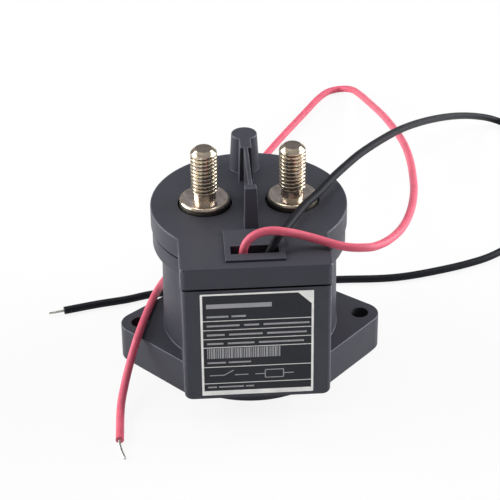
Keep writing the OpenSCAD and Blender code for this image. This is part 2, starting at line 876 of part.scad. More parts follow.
// Moving core, pressed on the shaft
module moving_core() {
    color("#8f9296")
        difference() {
            translate([0, 0, moving_core_z])
                cylinder(r = core_r, h = moving_core_l);
            translate([0, 0, moving_core_z - eps])
                cylinder(r = shaft_r + fit, h = moving_core_l + 2 * eps);
        }
}

// Moving contact

// Shaft from the moving core up through the contact bridge, with a groove for the clip
module plunger_shaft() {
    color(steel)
        rotate_extrude()
            polygon([
                [0, moving_core_z],
                [shaft_r, moving_core_z],
                [shaft_r, bridge_top],
                [groove_r, bridge_top],
                [groove_r, bridge_top + clip_t],
                [shaft_r, bridge_top + clip_t],
                [shaft_r, shaft_top - edge],
                [shaft_r - edge, shaft_top],
                [0, shaft_top]
            ]);
}

// Spring that opens the contacts, between the two cores
module return_spring() {
    color("#d6d8da")
        spring(moving_core_top, spring_pocket_top, spring_mid_r, spring_wire_d, return_turns);
}

// Collar on the shaft under the contact spring
module spring_seat() {
    color(steel)
        translate([0, 0, spring_seat_z])
            difference() {
                cylinder(r = spring_mid_r + spring_wire_d, h = spring_seat_t);
                translate([0, 0, -eps])
                    cylinder(r = shaft_r + fit, h = spring_seat_t + 2 * eps);
            }
}

// Spring that presses the bridge against the fixed contacts
module contact_spring() {
    color("#d6d8da")
        spring(spring_seat_z + spring_seat_t, bridge_z, spring_mid_r, spring_wire_d, contact_turns);
}

// Copper bar that closes the circuit between the two fixed contacts
module contact_bridge() {
    color(copper)
        translate([0, 0, bridge_z])
            linear_extrude(bridge_t)
                difference() {
                    stadium(bridge_l, bridge_w);
                    circle(r = shaft_r + shaft_gap);
                }
}

// Open clip in the shaft's groove that keeps the bridge on
module retaining_clip() {
    clip_in = groove_r + fit;
    clip_r = spring_mid_r;
    color("#6a6d72")
        translate([0, 0, bridge_top])
            linear_extrude(clip_t)
                difference() {
                    circle(r = clip_r);
                    circle(r = clip_in);
                    translate([loose - clip_in, 0])
                        square([2 * (clip_in - loose), clip_r + eps]);
                }
}

// Coil control

// Board that stands on the pocket's floor
module control_board() {
    half = pocket_half - board_side_gap;
    color("#2f6b45")
        translate([-half, board_front, board_z])
            cube([2 * half, board_t, board_top - board_z]);
}

// Control chip on the front of the board
module control_chip() {
    color("#202022")
        on_board(0, 0, chip_size);
}

// Transistor that switches the coil
module power_transistor() {
    color("#202022")
        on_board(-component_x, component_rise, transistor_size);
}

// Capacitor across the coil supply
module input_capacitor() {
    color("#3a4a66")
        translate([component_x, board_front, board_mid_z + component_rise])
            rotate([90, 0, 0])
                cylinder(d = capacitor_d, h = capacitor_h, $fn = 48);
}

// A flat package on the front of the board, placed from the board's middle
module on_board(x, rise, size) {
    translate([x - size.x / 2, board_front - size.z, board_mid_z + rise - size.y / 2])
        cube([size.x, size.z, size.y]);
}

// Leads

module red_lead() {
    color("#cf4f66")
        tube(red_route, lead_d);
}

module red_lead_strands() {
    color(tin)
        tube(red_strands, strand_d);
}

module black_lead() {
    color("#28292d")
        tube(black_route, lead_d);
}

module black_lead_strands() {
    color(tin)
        tube(black_strands, strand_d);
}

housing();
lid();
seam_gasket();
lead_outlet();
nameplate();
terminal_left();
terminal_right();
terminal_seals();
arc_chamber();
chamber_ring();
blowout_magnets();
gas_fill_tube();
yoke_cup();
pole_plate();
coil_bobbin();
coil_winding();
coil_pins();
core_tube();
fixed_core();
damper_pad();
moving_core();
plunger_shaft();
return_spring();
spring_seat();
contact_spring();
contact_bridge();
retaining_clip();
control_board();
control_chip();
power_transistor();
input_capacitor();
red_lead();
red_lead_strands();
black_lead();
black_lead_strands();
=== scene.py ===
"""Looks of a sealed high voltage DC contactor: finishes, mouldings, terminals, leads and studio."""

import json
import math

import bmesh
import bpy
from mathutils import Matrix, Vector


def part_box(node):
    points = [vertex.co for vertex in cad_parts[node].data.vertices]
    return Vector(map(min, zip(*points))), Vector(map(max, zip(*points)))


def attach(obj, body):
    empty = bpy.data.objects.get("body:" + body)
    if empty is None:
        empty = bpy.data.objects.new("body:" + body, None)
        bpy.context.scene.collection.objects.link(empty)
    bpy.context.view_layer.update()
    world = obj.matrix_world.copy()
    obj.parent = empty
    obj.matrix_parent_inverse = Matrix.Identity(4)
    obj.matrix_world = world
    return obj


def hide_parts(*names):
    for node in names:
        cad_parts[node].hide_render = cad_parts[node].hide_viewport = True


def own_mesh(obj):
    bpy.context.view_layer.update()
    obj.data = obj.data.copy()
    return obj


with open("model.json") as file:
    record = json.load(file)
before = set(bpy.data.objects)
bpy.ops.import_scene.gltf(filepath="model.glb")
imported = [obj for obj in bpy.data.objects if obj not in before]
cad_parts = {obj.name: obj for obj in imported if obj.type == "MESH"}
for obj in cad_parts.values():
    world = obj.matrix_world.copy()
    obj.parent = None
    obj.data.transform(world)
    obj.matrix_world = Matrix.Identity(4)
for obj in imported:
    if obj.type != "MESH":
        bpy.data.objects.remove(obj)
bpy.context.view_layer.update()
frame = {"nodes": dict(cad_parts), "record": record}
mounts = {mount["name"]: mount["dims"] for mount in frame["record"]["mounts"]}

# Lengths are written in millimetres and turned into metres by MM
MM = 0.001
WHOLE_TURN = 2 * math.pi

# Edges of the mouldings
HOUSING_EDGE = 0.26 * MM
LID_EDGE = 0.12 * MM
BARRIER_EDGE = 0.32 * MM
OUTLET_EDGE = 0.2 * MM
EDGE_SEGMENTS = 3
SHARP_ANGLE = math.radians(40)
FLAT_ANGLE = math.radians(0.3)
WELD = 0.002 * MM
LID_TOP = 54 * MM
# The housing's rim lies this much lower in the seam, which makes the seam a dark line
SEAM_OPEN = 0.3 * MM
# The insert's sides press against the lid
OUTLET_PRESS = 1.01

# Boxes in millimetres in which edges stay as they are: the block's underside, which is rounded already,
# the seam, the lid's front edge and the lug holes
BLOCK_FOOT = [(-30, -40, 8), (30, -26, 10)]
SEAM = [(-40, -40, 46.5), (40, 40, 47.7)]
LID_FRONT = [(-22.3, -38, 53.4), (22.3, -35.7, 54.2)]
HOLE_MARGIN = 0.45
HOLE_X = mounts["mounting_holes"]["spacing_x_mm"] / 2
HOLE_REACH = mounts["mounting_holes"]["hole_r_mm"] + HOLE_MARGIN
LUG_HOLES = [
    [(x - HOLE_REACH, -HOLE_REACH, -1), (x + HOLE_REACH, HOLE_REACH, 20)] for x in (-HOLE_X, HOLE_X)
]
# Boxes round the front corners of block and lid, whose faces get a lighter colour as a painted glint
BLOCK_CORNERS = [
    [(-22.3, -37.5, 0), (-20.6, -35.8, 55)],
    [(20.6, -37.5, 0), (22.3, -35.8, 55)],
]

# Places of the materials on a moulding, and on a terminal
MAIN_PLACE = 0
EDGE_PLACE, SEAM_SHADE_PLACE, GLINT_PLACE = 1, 2, 3
DARKENED_PLACE, END_PLACE, FACE_PLACE = 1, 2, 3

# Terminals
STUD_R = mounts["terminal_stud_left"]["r_mm"] * MM
THREAD_PITCH = 1.25 * MM
THREAD_DEPTH = 0.6 * MM
FLANK_SLOPE = math.tan(math.radians(60))
CREST_SHARE = 0.34
TURN_STEPS = 16
TERMINAL_SIDES = 96
CONTACT_R = 4.5 * MM
COLLAR_FOOT = 50 * MM
COLLAR_TOP = 56 * MM
COLLAR_ROUND = 0.8 * MM
NECK_R = 3.4 * MM
NECK_TOP = 58.5 * MM
NECK_FILLET = 0.08 * MM
# The tip draws in by TIP_IN over its last TIP_ROUND of height, faster towards the end
TIP_ROUND = 1.25 * MM
TIP_IN = 1.36 * MM
TIP_CURVE = 1.3
TIP_STEPS = 10
# The thread fades out this far under the tip, and its grooves are darker from this depth on
THREAD_STOP = 1.1 * MM
GROOVE_DEPTH = 0.36 * MM
# The collar's wall is painted dark up to this height, as painted shade in the gap under the collar
WALL_TOP = 55.1 * MM
CRISP_ANGLE = math.radians(30)

# Nameplate, in millimetres across it and above its lower edge
# Its rows run from the foot of the lowest panel to the head of the highest
PLATE_ROWS = [1.6, 4.28, 10.2, 17.2, 20.2, 23.37, 26.58, 35.4]
PLATE_BORDER = 0.65
PLATE_LINE = 0.26
PLATE_CUT = 3.9
PRINT_T = 0.03
PRINT_INSET = 1.1
# Rows of plain bars: where a row stands, how high its bars are, the gap between them and their lengths
PLATE_BARS = [
    (31, 1.5, 0, [19]),
    (27.8, 0.6, 0.9, [6.4, 4.2]),
    (24.6, 0.6, 1.3, [9.6, 4.4, 13.4]),
    (21.4, 0.6, 1.3, [5.2, 9.8, 11.6]),
    (18.3, 0.6, 1.3, [4.8, 7.8, 13.2]),
    (11.5, 0.55, 0.8, [5.4, 6.6]),
    (2.7, 0.5, 0.6, [2.6, 7.4, 2.4]),
]
# Stripes: they come in a few widths, from thin upwards by one step
STRIPES = 34
STRIPE_FOOT = 13.3
STRIPE_H = 3.6
STRIPE_WIDTHS = 4
STRIPE_THIN = 0.22
STRIPE_STEP = 0.13
STRIPE_GAP = 0.23
# Contact sign: where its left end is, the coil's box, the wires beside it, and all strokes from that end
SIGN_INSET = 0.6
SIGN_FOOT = 7.2
SIGN_LINE = 0.3
COIL_X = 16.4
COIL_W = 5.4
COIL_H = 2.8
COIL_WIRE = 3
SIGN_STROKES = [
    ((0, 0), (4.2, 0)),
    ((4.2, 0), (7, 1.7)),
    ((7.4, 0), (11.4, 0)),
    ((COIL_X - COIL_WIRE, 0), (COIL_X, 0)),
    ((COIL_X + COIL_W, 0), (COIL_X + COIL_W + COIL_WIRE, 0)),
]

# Leads, with the route's points in millimetres
LEAD_D = 2.5 * MM
RED_ROUTE = [
    (-3.4, -27.5, 40), (-3.4, -27.5, 46), (-3.4, -28, 52.5), (-2.9, -28.1, 55.6), (-1.4, -27.8, 57.9),
    (1.3, -27.6, 59.6), (4.8, -27.8, 60.4), (8.7, -27.7, 59.8), (12.9, -27, 58.3), (18, -27.1, 56.5),
    (23, -28.5, 55.4), (26.8, -29.3, 54.7), (30.9, -28.7, 53.9), (35, -26.5, 52.7), (40, -20.9, 51.2),
    (45.1, -11.8, 49.5), (49.3, 0.6, 47.5), (52.3, 14.6, 45), (54.2, 28.8, 42), (56, 49.6, 37.5),
    (56.6, 72, 32), (55.1, 105, 23), (53, 137, 12.5), (51.2, 157.6, 5.7), (49.6, 165.6, 3),
    (46.3, 169, 1.7), (41.6, 168.3, 1.3), (37.2, 163.5, 1.3), (32, 154.5, 1.3), (14, 121.5, 1.3),
    (-12, 68, 1.3), (-21, 46, 3.5), (-26.3, 27, 9), (-29.5, 12.5, 13), (-32, 3.5, 13),
    (-35.2, -9.9, 12.9), (-37.3, -14, 8.5), (-39.5, -21.5, 4.5), (-41, -30.5, 2.2), (-41.5, -46, 1.3),
]
RED_STRANDS = [(-41.5, -46, 1.3), (-41.5, -48.5, 1.3), (-40.8, -52, 1.1), (-40, -54.5, 0.9)]
BLACK_ROUTE = [
    (2.6, -27.5, 40), (2.8, -27.5, 46), (3.3, -27.8, 49.5), (4, -28.1, 52.6), (5.3, -27.7, 55),
    (6.9, -25.9, 57), (9.8, -21.8, 57.8), (15.8, -10.7, 58), (20.7, -3.6, 58), (26, 5.2, 58),
    (30.8, 13.3, 57.3), (36.4, 23.8, 55.3), (45.2, 41.4, 50), (54, 59.5, 43.5), (63.5, 78.3, 35.5),
    (73.4, 97.3, 26.5), (83.9, 116.5, 16.5), (93.8, 131.7, 7.5), (101, 137.8, 2.5), (107, 134, 1.3),
    (111, 124, 1.3), (112, 110, 1.3), (110.5, 94, 1.3), (107, 76, 1.3), (99, 58, 1.3),
    (88, 48, 1.3), (80, 43, 1.3), (66, 38, 1.3), (50, 34.6, 1.3), (31, 34.9, 1.3),
    (0, 35, 1.3), (-30, 31, 1.3), (-38.5, 28.5, 1.3), (-48, 26.5, 1.3), (-59, 23.6, 1.3),
]
BLACK_STRANDS = [(-59, 23.6, 1.3), (-61.5, 23.1, 1.2), (-64, 23, 1)]
# A lead's middle is no higher than this where it lies on the table, and runs level there
TABLE_RUN = 1.31 * MM
LEAD_ROUNDNESS = 6
LEAD_KNOT_STEPS = 10
# Bare wires at a lead's end, which spread unevenly
WIRE_R = 0.14 * MM
WIRE_SIDES = 8
WIRE_STEPS = 8
WIRES_ROUND_CORE = 6
STRAND_TWIST = 1.4
STRAND_SPREAD = 0.2
SPREAD_VARIES = 0.4
SPREAD_PHASE = 5

# Springs of the moving contact
SPRING_MID_R = 2.7 * MM
SPRING_WIRE_R = 0.38 * MM
SPRING_SIDES = 10
SPRING_TURN_STEPS = 28
RETURN_TURNS = 4.5
CONTACT_TURNS = 4

# The photograph's camera, fitted to the object
PICTURE_PX = 500
FOCAL_PX = 1961.75
SENSOR = 36
CAMERA_AZIMUTH = math.radians(-3.22)
CAMERA_ELEVATION = math.radians(32.37)
CAMERA_ROLL = math.radians(-0.7)
CAMERA_DISTANCE = 600.63 * MM
CAMERA_TARGET = Vector((0.24, 0, 36.5)) * MM
CAMERA_NEAR = 0.01
CAMERA_FAR = 50

# Studio, in metres and watts: each lamp has a place, a width, a height and a power
LAMPS = {
    "rear_box": ((-0.05, 0.38, 1.15), 0.7, 0.45, 3.3),
    "left_box": ((-0.84, 0.12, 0.35), 0.8, 0.8, 11.2),
    "right_box": ((0.84, 0.12, 0.35), 0.8, 0.8, 11.4),
}
LAMP_AIM = Vector((0, 0, 0.03))
FLOOR_HALF = 6
FLOOR_DROP = 0.05 * MM
FLOOR_GREY = (0.8, 0.8, 0.8, 1)
ROOM_LOW = (0.09, 0.078, 0.075, 1)
ROOM_HIGH = (0.25, 0.25, 0.258, 1)
ROOM_HIGH_FROM = 0.9
WHITE = (1, 1, 1, 1)
# How far the floor and the room turn to plain white for each kind of ray
FLOOR_WHITE = {"Is Camera Ray": 0.88, "Is Glossy Ray": 0.5, "Is Transmission Ray": 0.5}
ROOM_WHITE = {"Is Camera Ray": 1, "Is Glossy Ray": 0.14, "Is Transmission Ray": 0.14}

# Colours
COOL_GLOSS = (0.82, 0.86, 1, 1)
CHARCOAL = (0.044, 0.045, 0.056)
INSERT_GREY = (0.047, 0.048, 0.06)
RUBBER_BLACK = (0.008, 0.008, 0.009)
PLATE_SILVER = (0.78, 0.78, 0.76)
PLATE_BLACK = (0.012, 0.0123, 0.015)
PALE_INK = (0.42, 0.42, 0.43)
NICKEL = (0.8, 0.69, 0.49)
TARNISH = (0.66, 0.57, 0.49)
GROOVE_BROWN = (0.2, 0.18, 0.15)
END_BROWN = (0.42, 0.36, 0.31)
FACE_LIGHT = (0.69, 0.615, 0.565)
FACE_DARK = (0.55, 0.47, 0.44)
ALUMINA = (0.80, 0.77, 0.70)
STEEL = (0.62, 0.62, 0.64)
SPRING_WIRE = (0.66, 0.66, 0.68)
ZINC = (0.46, 0.47, 0.50)
COPPER = (0.75, 0.38, 0.20)
TIN = (0.70, 0.69, 0.66)
FERRITE = (0.05, 0.05, 0.055)
BOBBIN_BLACK = (0.014, 0.016, 0.019)
MASK_GREEN = (0.02, 0.11, 0.05)
CHIP_BLACK = (0.013, 0.013, 0.014)
SLEEVE_BLUE = (0.16, 0.22, 0.34)
LEAD_RED = (0.74, 0.125, 0.188)
LEAD_BLACK = (0.0095, 0.0102, 0.0128)


# Shared helpers

def metres(points):
    """Points in millimetres as vectors in metres."""
    return [Vector(p) * MM for p in points]


def add_object(name, data):
    """A new object in the scene that holds this mesh, curve, light or camera."""
    made = bpy.data.objects.new(name, data)
    bpy.context.scene.collection.objects.link(made)
    return made


def mesh_object(name, bm, smooth=True):
    """A new object from a bmesh, which is freed."""
    bmesh.ops.recalc_face_normals(bm, faces=bm.faces)
    mesh = bpy.data.meshes.new(name)
    bm.to_mesh(mesh)
    bm.free()
    mesh.polygons.foreach_set("use_smooth", [smooth] * len(mesh.polygons))
    return add_object(name, mesh)


def finish_piece(piece, looks, body, slot, *nodes):
    """Gives a piece its materials and its body, and hides the CAD nodes that it stands for; the slot is not
    used.
    """
    for look in looks:
        piece.data.materials.append(look)
    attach(piece, body)
    if nodes:
        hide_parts(*nodes)
    return piece


def inside(point, low, high):
    """Whether a point lies in the box between two corners."""
    return all(a <= p <= b for a, p, b in zip(low, point, high))


def shade(colour, share):
    """A colour made darker or lighter by a share."""
    return [min(1.0, c * share) for c in colour]


# Materials

class Look:
    """A procedural material, whose patterns are sized in metres of object space."""

    # Noise and waves lie mostly between these values
    LOW, HIGH = 0.35, 0.65
    # A wave texture of scale 1 repeats after this length
    WAVE_PERIOD = WHOLE_TURN / 20

    def __init__(self, name, **constants):
        self.material = bpy.data.materials.new(name)
        self.material.use_nodes = True
        self.nodes = self.material.node_tree.nodes
        self.links = self.material.node_tree.links
        self.shader = self.nodes["Principled BSDF"]
        self.place = self.nodes.new("ShaderNodeTexCoord").outputs["Object"]
        for words, value in constants.items():
            socket = words.replace("_", " ").title().replace("Ior", "IOR")
            self.shader.inputs[socket].default_value = value

    def noise(self, size, detail=2.0, stretch=(1, 1, 1)):
        """Noise with grains of that size, drawn out along the axes where stretch is over 1."""
        mapping = self.nodes.new("ShaderNodeMapping")
        mapping.inputs["Scale"].default_value = [1 / (size * s) for s in stretch]
        self.links.new(self.place, mapping.inputs["Vector"])
        texture = self.nodes.new("ShaderNodeTexNoise")
        texture.inputs["Scale"].default_value = 1
        texture.inputs["Detail"].default_value = detail
        self.links.new(mapping.outputs["Vector"], texture.inputs["Vector"])
        return texture.outputs["Fac"]

    def wave(self, period, kind, direction, wobble=0.0):
        """Even bands or rings about an axis."""
        texture = self.nodes.new("ShaderNodeTexWave")
        texture.wave_type = kind
        if kind == "RINGS":
            texture.rings_direction = direction
        else:
            texture.bands_direction = direction
        texture.inputs["Scale"].default_value = self.WAVE_PERIOD / period
        texture.inputs["Distortion"].default_value = wobble
        self.links.new(self.place, texture.inputs["Vector"])
        return texture.outputs["Fac"]

    def colour(self, pattern, dark, light):
        """Base colour that runs from dark to light with a pattern."""
        ramp = self.nodes.new("ShaderNodeValToRGB")
        low, high = ramp.color_ramp.elements
        low.position, high.position = self.LOW, self.HIGH
        low.color, high.color = (*dark, 1), (*light, 1)
        self.links.new(pattern, ramp.inputs["Fac"])
        self.links.new(ramp.outputs["Color"], self.shader.inputs["Base Color"])

    def roughness(self, pattern, low, high):
        """Roughness that runs from low to high with a pattern."""
        spread = self.nodes.new("ShaderNodeMapRange")
        spread.inputs["From Min"].default_value = self.LOW
        spread.inputs["From Max"].default_value = self.HIGH
        spread.inputs["To Min"].default_value = low
        spread.inputs["To Max"].default_value = high
        self.links.new(pattern, spread.inputs["Value"])
        self.links.new(spread.outputs["Result"], self.shader.inputs["Roughness"])

    def relief(self, pattern, depth):
        """Surface relief of that depth."""
        bump = self.nodes.new("ShaderNodeBump")
        bump.inputs["Strength"].default_value = 1
        bump.inputs["Distance"].default_value = depth
        self.links.new(pattern, bump.inputs["Height"])
        self.links.new(bump.outputs["Normal"], self.shader.inputs["Normal"])


def moulded(name, colour, rough=0.5, grain=0.16 * MM, depth=0.006 * MM, gloss=0.5):
    """Moulded plastic with a fine spark-eroded grain and faint clouds."""
    look = Look(name, specular_ior_level=gloss, specular_tint=COOL_GLOSS)
    fine = look.noise(grain, detail=3)
    clouds = look.noise(9 * MM, detail=4)
    look.colour(fine, shade(colour, 0.82), shade(colour, 1.18))
    look.roughness(clouds, rough - 0.05, rough + 0.06)
    look.relief(fine, depth)
    return look.material


def insulation(name, colour, rough, gloss):
    """Extruded insulation: satin, with faint clouds and a dusty bloom."""
    look = Look(name, specular_ior_level=gloss, specular_tint=COOL_GLOSS)
    clouds = look.noise(3 * MM, detail=4)
    fine = look.noise(0.25 * MM)
    look.colour(clouds, shade(colour, 0.93), shade(colour, 1.07))
    look.roughness(fine, rough - 0.06, rough + 0.08)
    look.relief(fine, 0.004 * MM)
    return look.material


def metal(name, colour, rough=0.3, grain=0.12 * MM, stretch=(1, 1, 1)):
    """Bare or plated metal with fine marks."""
    look = Look(name, metallic=1.0)
    marks = look.noise(grain, detail=3, stretch=stretch)
    stains = look.noise(4 * MM, detail=5)
    look.colour(stains, shade(colour, 0.9), shade(colour, 1.06))
    look.roughness(marks, rough - 0.07, rough + 0.08)
    look.relief(marks, 0.002 * MM)
    return look.material


def turned(name, colour, rough, ring, dark=TARNISH):
    """Turned and plated metal, with tool rings about the Z axis of its object."""
    look = Look(name, metallic=1.0, anisotropic=0.6, anisotropic_rotation=0.25)
    rings = look.wave(ring, "RINGS", "Z", wobble=0.6)
    stains = look.noise(2.2 * MM, detail=5)
    look.colour(stains, dark, shade(colour, 1.15))
    look.roughness(stains, rough - 0.05, rough + 0.09)
    look.relief(rings, 0.0007 * MM)
    tangent = look.nodes.new("ShaderNodeTangent")
    tangent.direction_type = "RADIAL"
    tangent.axis = "Z"
    look.links.new(tangent.outputs["Tangent"], look.shader.inputs["Tangent"])
    return look.material


def wound(name, colour):
    """Enamelled wire laid in even turns round the Z axis."""
    look = Look(name, metallic=1.0, coat_weight=0.5, coat_roughness=0.2)
    turns = look.wave(0.3 * MM, "BANDS", "Z")
    stains = look.noise(1.2 * MM, detail=3)
    look.colour(stains, shade(colour, 0.85), shade(colour, 1.1))
    look.roughness(stains, 0.28, 0.4)
    look.relief(turns, 0.12 * MM)
    return look.material


def glazed(name, colour):
    """Fired ceramic with fine pores."""
    look = Look(name, specular_ior_level=0.55)
    pores = look.noise(0.4 * MM, detail=4)
    look.colour(pores, shade(colour, 0.95), colour)
    look.roughness(pores, 0.35, 0.5)
    look.relief(pores, 0.004 * MM)
    return look.material


LOOKS = {
    "housing_plastic": moulded("charcoal_moulding", CHARCOAL, gloss=0.42),
    "lid_plastic": moulded("charcoal_lid", CHARCOAL, gloss=0.42),
    "outlet_plastic": moulded("insert_moulding", INSERT_GREY, rough=0.46),
    "seal_rubber": moulded("seal_rubber", RUBBER_BLACK, rough=0.75, grain=0.3 * MM),
    "nameplate_film": metal("nameplate_silver", PLATE_SILVER, rough=0.42, stretch=(14, 1, 1)),
    "terminal_metal": turned("plated_terminal", NICKEL, 0.16, 0.16 * MM),
    "ceramic": glazed("alumina", ALUMINA),
    "bright_steel": metal("bright_steel", STEEL, rough=0.24),
    "soft_iron": metal("zinc_plated_iron", ZINC, rough=0.4, grain=0.3 * MM),
    "spring_steel": metal("spring_wire", SPRING_WIRE, rough=0.26, stretch=(6, 6, 1)),
    "copper": metal("bare_copper", COPPER, stretch=(8, 1, 1)),
    "magnet": moulded("ferrite", FERRITE, rough=0.45, grain=0.4 * MM, depth=0.01 * MM),
    "bobbin_plastic": moulded("bobbin_plastic", BOBBIN_BLACK, rough=0.42),
    "board": moulded("solder_mask", MASK_GREEN, rough=0.32, grain=0.5 * MM),
    "chip_plastic": moulded("chip_plastic", CHIP_BLACK, rough=0.6, grain=0.1 * MM),
    "capacitor_can": metal("capacitor_sleeve", SLEEVE_BLUE, rough=0.35),
    "red_insulation": insulation("red_insulation", LEAD_RED, 0.45, 0.4),
    "black_insulation": insulation("black_insulation", LEAD_BLACK, 0.52, 0.2),
    "tinned_copper": metal("tinned_wire", TIN, rough=0.28, stretch=(1, 4, 1)),
}

# Looks of single faces and edges
# Darker brown metal for the thread's grooves, and as painted shade for the collar's wall
DARKENED_METAL = metal("darkened_metal", GROOVE_BROWN, rough=0.42)
STUD_END = metal("stud_end", END_BROWN, rough=0.26, grain=0.3 * MM)
COLLAR_FACE = turned("collar_face", FACE_LIGHT, 0.2, 0.3 * MM, dark=FACE_DARK)
# Bevelled edges of the mouldings: the lighter colour is a painted highlight, the lower roughness a smoother
# edge
PAINTED_EDGE_HIGHLIGHT = moulded("painted_edge_highlight", shade(CHARCOAL, 1.8), rough=0.36, depth=0.002 * MM)
# Front corners of block and lid: a lighter colour as a painted glint, with a lower roughness
PAINTED_CORNER_GLINT = moulded("painted_corner_glint", shade(CHARCOAL, 1.2), rough=0.24, depth=0.002 * MM)


def dress_nodes():
    """Gives every CAD node the material of its slot in the record."""
    for row in frame["record"]["subparts"]:
        node = frame["nodes"][row["node"]]
        node.data.materials.clear()
        node.data.materials.append(LOOKS[row["material_slot"]])
    winding = frame["nodes"]["coil_winding"]
    winding.data.materials[0] = wound("enamelled_winding", COPPER)


# Mouldings

def within(part, boxes):
    """Whether an edge or face lies in one of the boxes."""
    return any(all(inside(v.co, *metres(box)) for v in part.verts) for box in boxes)


def clean_mesh(node):
    """A smooth mesh of a CAD node, its points welded and each flat stretch joined into one face."""
    bm = bmesh.new()
    bm.from_mesh(frame["nodes"][node].data)
    bmesh.ops.remove_doubles(bm, verts=bm.verts, dist=WELD)
    bmesh.ops.dissolve_limit(bm, angle_limit=FLAT_ANGLE, verts=bm.verts, edges=bm.edges)
    corners = [v.co.copy() for v in bm.verts]
    bm.verts.index_update()
    outlines = [[v.index for v in f.verts] for f in bm.faces]
    bm.free()
    mesh = bpy.data.meshes.new(node + "_moulding")
    mesh.from_pydata(corners, [], outlines)
    mesh.polygons.foreach_set("use_smooth", [True] * len(mesh.polygons))
    return mesh


def rounded_moulding(node, slot, width, upper_width=0.0, upper_from=math.inf, as_is=(), seam_drop=0.0):
    """A copy of a CAD node with clean flat faces and rounded edges, which stands for it.

    Edges above a height may have a width of their own, those inside the given boxes stay as they are,
    and points in the seam may be lowered.
    """
    mesh = clean_mesh(node)
    widest = max(width, upper_width)
    bm = bmesh.new()
    bm.from_mesh(mesh)
    crisp = [False] * len(bm.edges)
    weights = [0.0] * len(bm.edges)
    for edge in bm.edges:
        if not edge.is_manifold or edge.calc_face_angle() < SHARP_ANGLE:
            continue
        if within(edge, as_is):
            crisp[edge.index] = True
        else:
            upper = min(v.co.z for v in edge.verts) > upper_from
            weights[edge.index] = (upper_width if upper else width) / widest
    places = [MAIN_PLACE] * len(bm.faces)
    for face in bm.faces:
        # Faces in the seam take the seal's black rubber as painted shade in the gap between housing and lid
        if within(face, [SEAM]):
            places[face.index] = SEAM_SHADE_PLACE
        # Faces on the front corners take the painted glint
        elif within(face, BLOCK_CORNERS):
            places[face.index] = GLINT_PLACE
    bm.free()
    mesh.polygons.foreach_set("material_index", places)
    mesh.attributes.new("sharp_edge", "BOOLEAN", "EDGE").data.foreach_set("value", crisp)
    mesh.attributes.new("bevel_weight_edge", "FLOAT", "EDGE").data.foreach_set("value", weights)
    for vertex in mesh.vertices:
        if inside(vertex.co, *metres(SEAM)):
            vertex.co.z -= seam_drop
    piece = add_object(node + "_moulding", mesh)
    bevel = piece.modifiers.new("rounded_edges", "BEVEL")
    bevel.width = widest
    bevel.segments = EDGE_SEGMENTS
    bevel.limit_method = "WEIGHT"
    bevel.use_clamp_overlap = False
    bevel.harden_normals = True
    # The bevel's new faces take the painted edge highlight
    bevel.material = EDGE_PLACE
    # The seal's black rubber stands here as painted seam shade
    looks = [LOOKS[slot], PAINTED_EDGE_HIGHLIGHT, LOOKS["seal_rubber"], PAINTED_CORNER_GLINT]
    return finish_piece(piece, looks, "body", slot, node)


def mouldings():
    """Housing, lid and the insert that the leads leave through."""
    rounded_moulding(
        "housing", "housing_plastic", HOUSING_EDGE,
        as_is=[BLOCK_FOOT, SEAM, *LUG_HOLES], seam_drop=SEAM_OPEN,
    )
    rounded_moulding(
        "lid", "lid_plastic", LID_EDGE, BARRIER_EDGE, upper_from=LID_TOP + LID_EDGE,
        as_is=[SEAM, LID_FRONT],
    )
    outlet = rounded_moulding("lead_outlet", "outlet_plastic", OUTLET_EDGE)
    outlet.scale.x = OUTLET_PRESS


# Terminals

def arc(centre_r, centre_z, radius, start, end, steps=5):
    """Profile points along an arc, as pairs of height and radius; angles are in degrees from outwards."""
    angles = [math.radians(start + (end - start) * i / steps) for i in range(steps + 1)]
    return [(centre_z + radius * math.sin(a), centre_r + radius * math.cos(a)) for a in angles]


def thread_radius(height, turn, tip):
    """Radius of the stud at a height and a share of a turn, with run-out at the neck and a drawn-in tip."""
    phase = ((height - NECK_TOP) / THREAD_PITCH - turn) % 1
    from_crest = abs(phase - 0.5) * THREAD_PITCH
    crest_half = CREST_SHARE * THREAD_PITCH / 2
    fade = max(0.0, tip - THREAD_STOP - height)
    cut = min(THREAD_DEPTH, fade, max(0.0, from_crest - crest_half) * FLANK_SLOPE)
    run_out = NECK_R + (height - NECK_TOP)
    over = max(0.0, height - (tip - TIP_ROUND))
    tip_in = TIP_IN * (over / TIP_ROUND) ** TIP_CURVE
    return min(STUD_R - cut, run_out, STUD_R - tip_in)


def terminal_rings(foot, tip, collar_r):
    """Rings of points from the fixed contact up to the tip, each point a pair of height and radius."""
    profile = [(foot, 0.0)]
    profile += arc(CONTACT_R - COLLAR_ROUND, foot + COLLAR_ROUND, COLLAR_ROUND, -90, 0)
    profile += [(COLLAR_FOOT, CONTACT_R), (COLLAR_FOOT, collar_r)]
    profile += arc(collar_r - COLLAR_ROUND, COLLAR_TOP - COLLAR_ROUND, COLLAR_ROUND, 0, 90)
    profile += arc(NECK_R + NECK_FILLET, COLLAR_TOP + NECK_FILLET, NECK_FILLET, 270, 180)
    profile += [(NECK_TOP, NECK_R)]
    rings = [[point] * TERMINAL_SIDES for point in profile]
    shoulder = tip - TIP_ROUND
    steps = round((shoulder - NECK_TOP) / THREAD_PITCH * TURN_STEPS)
    heights = [NECK_TOP + (shoulder - NECK_TOP) * i / steps for i in range(1, steps + 1)]
    for i in range(1, TIP_STEPS + 1):
        heights.append(shoulder + TIP_ROUND * math.sin(math.pi / 2 * i / TIP_STEPS))
    turns = [k / TERMINAL_SIDES for k in range(TERMINAL_SIDES)]
    for height in heights:
        rings.append([(height, thread_radius(height, turn, tip)) for turn in turns])
    rings.append([(tip, 0.0)] * TERMINAL_SIDES)
    return rings


